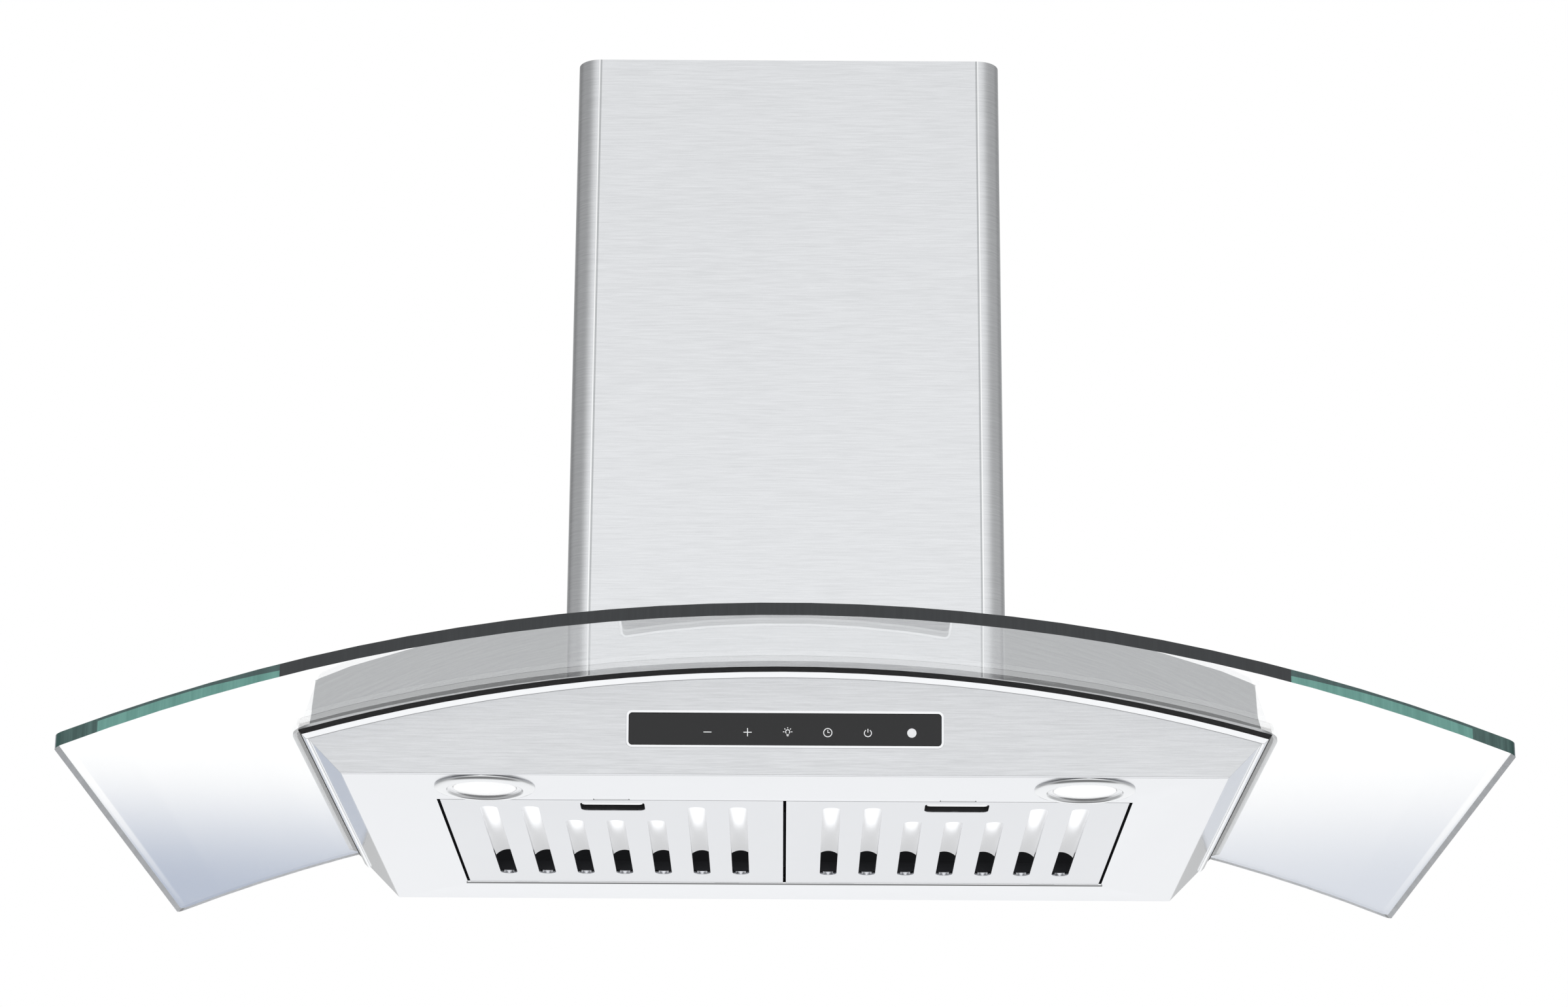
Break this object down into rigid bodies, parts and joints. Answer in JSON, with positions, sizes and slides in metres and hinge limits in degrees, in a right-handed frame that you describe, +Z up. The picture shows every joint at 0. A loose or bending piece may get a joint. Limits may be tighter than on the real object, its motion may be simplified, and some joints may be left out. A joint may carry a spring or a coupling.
{
  "type": "wall chimney range hood",
  "caption": "Wall-mounted chimney hood with an arched glass canopy, slotted baffle filters, round lamps, touch controls, blower, duct dampers and a telescoping chimney.",
  "frame": {"origin": "middle of the four wall fixing holes, on the wall plane behind the airbox", "axes": "+X across the wall to the right as seen from the room, +Y into the wall, +Z up"},
  "size_m": [0.9, 0.522, 0.5786],
  "materials": {
    "brushed_steel": "horizontal brushed grain",
    "satin_steel": "satin, faint grain",
    "chrome": "polished",
    "rubber": "matt black",
    "tinted_glass": "clear toughened glass with polished edges",
    "control_glass": "dark glass behind which white touch symbols show",
    "circuit_board": "solder mask",
    "black_plastic": "fine moulded texture",
    "lamp_lens": "frosted white",
    "aluminium": "die cast",
    "galvanised_steel": "zinc spangle",
    "machined_steel": "bright steel",
    "winding": "lacquered copper",
    "bronze": "sintered bronze",
    "white_plastic": "smooth"
  },
  "bodies": {
    "hood": {"canopy_shell": "satin_steel", "front_panel": "brushed_steel", "bottom_panel": "satin_steel", "trim_moulding": "chrome", "glass_gasket": "rubber", "glass_canopy": "tinted_glass", "clamp_pad": "rubber", "clamp_plate": "satin_steel", "clamp_bolts": "chrome", "glass_grommets": "rubber", "control_bezel": "chrome", "control_glass": "control_glass", "control_board": "circuit_board", "control_cover": "black_plastic", "lamp_left_trim": "chrome", "lamp_left_lens": "lamp_lens", "lamp_left_housing": "aluminium", "lamp_right_trim": "chrome", "lamp_right_lens": "lamp_lens", "lamp_right_housing": "aluminium", "lamp_clips": "machined_steel", "filter_rod": "chrome", "latch_strikes": "machined_steel", "airbox": "galvanised_steel", "wall_plate": "galvanised_steel", "airbox_screws": "machined_steel", "scroll_housing": "black_plastic", "inlet_rings": "black_plastic", "motor_bracket": "galvanised_steel", "motor_housing": "galvanised_steel", "motor_stator": "winding", "motor_bushes": "bronze", "capacitor": "white_plastic", "capacitor_clip": "galvanised_steel", "power_box": "black_plastic", "power_box_lid": "black_plastic", "cable_gland": "black_plastic", "duct_collar": "black_plastic", "damper_pin": "machined_steel", "lower_chimney": "brushed_steel", "chimney_fixings": "machined_steel"},
    "impeller": {"impeller": "galvanised_steel", "motor_shaft": "machined_steel", "motor_rotor": "machined_steel"},
    "filter_left": {"filter_left_tray": "satin_steel", "filter_left_baffles": "satin_steel", "filter_left_hooks": "satin_steel", "latch_left_pocket": "black_plastic"},
    "filter_right": {"filter_right_tray": "satin_steel", "filter_right_baffles": "satin_steel", "filter_right_hooks": "satin_steel", "latch_right_pocket": "black_plastic"},
    "latch_left": {"latch_left_slider": "chrome", "latch_left_spring": "machined_steel"},
    "latch_right": {"latch_right_slider": "chrome", "latch_right_spring": "machined_steel"},
    "damper_left": {"damper_left_flap": "galvanised_steel"},
    "damper_right": {"damper_right_flap": "galvanised_steel"},
    "upper_chimney": {"upper_chimney": "brushed_steel", "ceiling_bracket": "galvanised_steel"}
  },
  "joints": [
    {"name": "impeller_spin", "type": "hinge", "parent": "hood", "child": "impeller", "pos_m": [0, -0.108, -0.039], "axis": [1, 0, 0], "continuous": true},
    {"name": "filter_left_tilt", "type": "hinge", "parent": "hood", "child": "filter_left", "pos_m": [-0.116, -0.0552, -0.234], "axis": [1, 0, 0], "range_deg": [0, 60], "deforming": ["latch_strikes"]},
    {"name": "filter_right_tilt", "type": "hinge", "parent": "hood", "child": "filter_right", "pos_m": [0.116, -0.0552, -0.234], "axis": [1, 0, 0], "range_deg": [0, 60], "deforming": ["latch_strikes"]},
    {"name": "latch_left_slide", "type": "slide", "parent": "filter_left", "child": "latch_left", "axis": [0, 1, 0], "range_m": [0, 0.004], "stiffness_N_per_m": 400, "springref_m": -0.004, "deforming": ["latch_left_spring"]},
    {"name": "latch_right_slide", "type": "slide", "parent": "filter_right", "child": "latch_right", "axis": [0, 1, 0], "range_m": [0, 0.004], "stiffness_N_per_m": 400, "springref_m": -0.004, "deforming": ["latch_right_spring"]},
    {"name": "damper_left_swing", "type": "hinge", "parent": "hood", "child": "damper_left", "pos_m": [0, -0.15123, 0.112], "axis": [0, 1, 0], "range_deg": [0, 75]},
    {"name": "damper_right_swing", "type": "hinge", "parent": "hood", "child": "damper_right", "pos_m": [0, -0.15123, 0.112], "axis": [0, -1, 0], "range_deg": [0, 75]},
    {"name": "upper_chimney_lift", "type": "slide", "parent": "hood", "child": "upper_chimney", "axis": [0, 0, 1], "range_m": [0, 0.36]}
  ]
}
